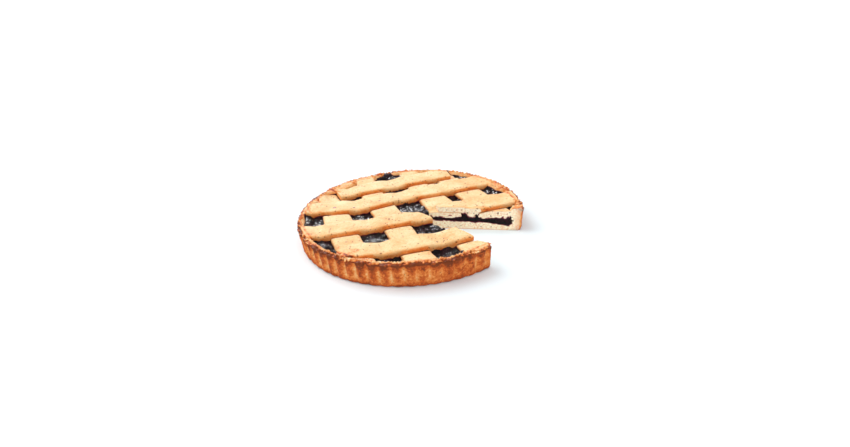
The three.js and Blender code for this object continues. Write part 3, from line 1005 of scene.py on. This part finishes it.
# how brown a strip is: its base, darker in cracks, browner on the sides, which is partly real browning
# and partly painted shade, in patches and on crumbs, in brown spots, and along two lines, each
# strength * exp(-(distance / half width)^2)
def stripBakeAndShade(sheet, x, y, level, crack, smallValue, seed):
    bakeAndShade = stripLook["bakeAndShade"] + stripLook["crackDarkening"] * crack
    # sides browner, partly their real browning and partly painted shade
    bakeAndShade = bakeAndShade + stripLook["sideBakeAndShade"] * (1 - eased(level, 0.55, 1.0))
    bakeAndShade = bakeAndShade + stripLook["patchBake"] * layered(sheet, stripLook["patchSize"], seed + 5)
    bakeAndShade = bakeAndShade + stripLook["grainBake"] * smallValue
    place, wander, width, strength = stripLook["rimLine"]
    away = (np.hypot(x, y) - place + wander * layered(sheet, 9.0, seed + 6)) / width
    bakeAndShade = bakeAndShade + strength * np.exp(-(away**2)) * (1.0 + 0.5 * smallValue)
    for spotX, spotY, radius, spotStrength in stripLook["brownSpots"]:
        away = np.hypot(x - spotX, y - spotY) / radius
        bakeAndShade = bakeAndShade + spotStrength * (1.0 - eased(away, 0.3, 1.0)) * (1.0 + 0.7 * smallValue)
    normal = cutNormal("cutStart")
    place, wander, width, strength = stripLook["foldLine"]
    away = (-(x * normal[0] + y * normal[1]) - place - wander * layered(sheet, 12.0, seed + 9)) / width
    return bakeAndShade + strength * np.exp(-(away**2)) * eased(x, *stripLook["foldFrom"])


# where jam stains a strip: below a ragged wet level, higher at the wet sides, and in soaked spots
def stripStain(sheet, x, y, seed):
    wet = filling["level"] + stripLook["wetRise"] + stripLook["wetWander"] * layered(sheet, 5.0, seed + 7)
    for spotX, spotY, radius, rise in stripLook["wetSides"]:
        wet = wet + rise * (1.0 - eased(np.hypot(x - spotX, y - spotY) / radius, 0.4, 1.0))
    stain = eased(wet - sheet[..., 2], 0.0, stripLook["wetEdge"])
    for spotX, spotY, radius in stripLook["jamSpots"]:
        away = np.hypot(x - spotX, (y - spotY) * 1.3) / radius
        stain = np.maximum(stain, stripLook["spotStain"] * (1.0 - eased(away, 0.4, 1.0)))
    return stain


# One half of a strip: place = centre line + side * half the width, and height = underside +
# level * thickness, both roughened by grain and crumbs, and sunk along the cracks
def stripSheet(line, half, heights, seed):
    normals = leftNormals(line)
    steps = np.linalg.norm(np.diff(line[:, :2], axis=0), axis=1)
    along = np.concatenate([[0.0], np.cumsum(steps)])[:, None]
    side, level = half[:, 0], half[:, 1]
    spread = 0.0 * (along + side)
    track = np.stack([along + spread, 400.0 * np.sign(side) + spread, seed * 50.0 + spread], -1)
    wander = lattice["edgeWander"] * layered(track, lattice["wanderSize"], seed) * np.abs(side) ** 3
    reach = side * line[:, 2:3] / 2 - wander * np.sign(side)
    x = line[:, 0:1] + normals[:, 0:1] * reach
    y = line[:, 1:2] + normals[:, 1:2] * reach
    low, high = heights(x, y, side)
    sheet = np.stack([x, y, low + level * (high - low)], -1)
    onTop = eased(level, 0.3, 0.9)
    rough = lattice["bumpHeight"] * layered(sheet, lattice["bumpSize"], seed + 3)
    sheet[..., 2] += rough * onTop
    outwards = np.sign(side) * eased(np.abs(side), 0.8, 1.0)
    sheet[..., :2] += normals[:, None, :] * outwards[None, :, None] * rough[..., None]
    small, smallValue = crumbs(sheet, lattice["grainSize"], seed + 4)
    sheet[..., 2] += lattice["grainHeight"] * (small - 0.5) * onTop
    crack = crackShare(sheet, seed + 8)
    sheet[..., 2] -= lattice["crackDepth"] * crack * onTop
    bakeAndShade = stripBakeAndShade(sheet, x, y, level, crack, smallValue, seed)
    marks = np.stack([np.zeros_like(x), bakeAndShade, stripStain(sheet, x, y, seed)], -1)
    return np.concatenate([sheet, marks], -1)


# Moves what lies beyond a cut that runs along a strip sideways onto the cut, and marks it as cut
def squeezed(sheet, line, cut):
    normal = cutNormal(cut)[:2]
    across = leftNormals(line)
    beyond = np.maximum(sheet[..., 0] * normal[0] + sheet[..., 1] * normal[1], 0.0)
    step = beyond / (across @ normal)[:, None]
    sheet[..., :2] -= step[..., None] * across[:, None, :]
    sheet[..., 3] = np.maximum(sheet[..., 3], beyond > 0.0)
    return sheet


# how far inside the tart a place is: short of the rim and clear of the strip's cut
def insideMeasure(sheet, cut):
    x, y = sheet[..., 0], sheet[..., 1]
    measure = lattice["endRadius"] - np.hypot(x, y)
    if cut:
        normal = cutNormal(cut)
        measure = np.minimum(measure, -(x * normal[0] + y * normal[1]))
    return measure



# a strip from its two halves, cut off inside the rim and at the wedge
def makeStrip(name, path, heights, seed):
    line = smoothLine(path, lattice["step"])
    upper, under = sectionHalves()
    high = stripSheet(line, upper, heights, seed)
    low = stripSheet(line, under, heights, seed)
    low[:, 0], low[:, -1] = high[:, 0], high[:, -1]
    if name in sideCuts:
        high, low = squeezed(high, line, sideCuts[name]), squeezed(low, line, sideCuts[name])
    cut = stripCuts.get(name)
    count = len(line)
    high = trimmed(high, insideMeasure(high, cut), count)
    low = trimmed(low, insideMeasure(low, cut), count)
    ends = [None, None]
    if cut:
        middle = len(upper) // 2
        distances = [abs(high[end, middle, :3] @ cutNormal(cut)) for end in (0, -1)]
        ends[int(np.argmin(distances))] = cutNormal(cut)
    piece = makePiece(name.replace("_", ""), [skinBetween(low, high, ends)], stripPastry)
    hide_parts(name)


for number, (name, path) in enumerate(underPaths.items()):
    makeStrip(name, path, underHeights, 100 + 10 * number)
for number, (name, path) in enumerate(overPaths.items()):
    makeStrip(name, path, overHeights, 200 + 10 * number)


# floor and light

studio = {
    "cameraWhite": 1.1,  # the world's strength as the camera sees it
    "worldStrength": 0.75,  # and as a light
    "sunStrength": 1.9,
    "sunAngle": 50.0,  # degrees across, for soft shadows
    "sunFrom": (-0.8, 0.45, 1.05),
    "fillStrength": 0.8,
    "fillAngle": 80.0,
    "fillFrom": (0.3, -1.0, 0.6),
    "glintSize": 0.24,
    "glintWatts": 90.0,
    "glintFrom": (-0.35, 1.3, 0.95),
    "floorSize": 400.0,
    "floorColour": (0.83, 0.9, 0.935, 1.0),
}


def makeFloor():
    half = studio["floorSize"] / 2
    corners = [(-half, -half, 0), (half, -half, 0), (half, half, 0), (-half, half, 0)]
    mesh = bpy.data.meshes.new("floor")
    mesh.from_pydata(corners, [], [(0, 1, 2, 3)])
    material = bpy.data.materials.new("paleFloor")
    material.use_nodes = True
    shader = material.node_tree.nodes["Principled BSDF"]
    shader.inputs["Base Color"].default_value = studio["floorColour"]
    shader.inputs["Roughness"].default_value = 1.0
    shader.inputs["Specular IOR Level"].default_value = 0.0
    mesh.materials.append(material)
    floor = bpy.data.objects.new("floor", mesh)
    bpy.context.scene.collection.objects.link(floor)


# a light that shines from a direction towards the tart
def addLight(name, kind, strength, start):
    light = bpy.data.lights.new(name, kind)
    light.energy = strength
    lamp = bpy.data.objects.new(name, light)
    lamp.rotation_euler = Vector(start).to_track_quat("Z", "Y").to_euler()
    bpy.context.scene.collection.objects.link(lamp)
    return lamp


# The world is white to the camera and a little dimmer as a light
def makeWorld():
    world = bpy.data.worlds.new("studio")
    world.use_nodes = True
    tree = world.node_tree
    background = tree.nodes["Background"]
    background.inputs["Color"].default_value = (1.0, 1.0, 1.0, 1.0)
    seen = tree.nodes.new("ShaderNodeLightPath").outputs["Is Camera Ray"]
    dim = studio["worldStrength"]
    strength = addMath(tree, "MULTIPLY_ADD", seen, studio["cameraWhite"] - dim, dim)
    tree.links.new(strength, background.inputs["Strength"])
    bpy.context.scene.world = world


def makeLights():
    sun = addLight("sun", "SUN", studio["sunStrength"], studio["sunFrom"])
    sun.data.angle = math.radians(studio["sunAngle"])
    fill = addLight("fill", "SUN", studio["fillStrength"], studio["fillFrom"])
    fill.data.angle = math.radians(studio["fillAngle"])
    glint = addLight("glint", "AREA", studio["glintWatts"], studio["glintFrom"])
    glint.data.size = studio["glintSize"]
    glint.location = studio["glintFrom"]
    glint.visible_diffuse = False  # seen in the gloss alone
    glint.visible_camera = False


makeFloor()
makeWorld()
makeLights()
bpy.context.scene.view_settings.view_transform = "Standard"
print("floor and lights made")
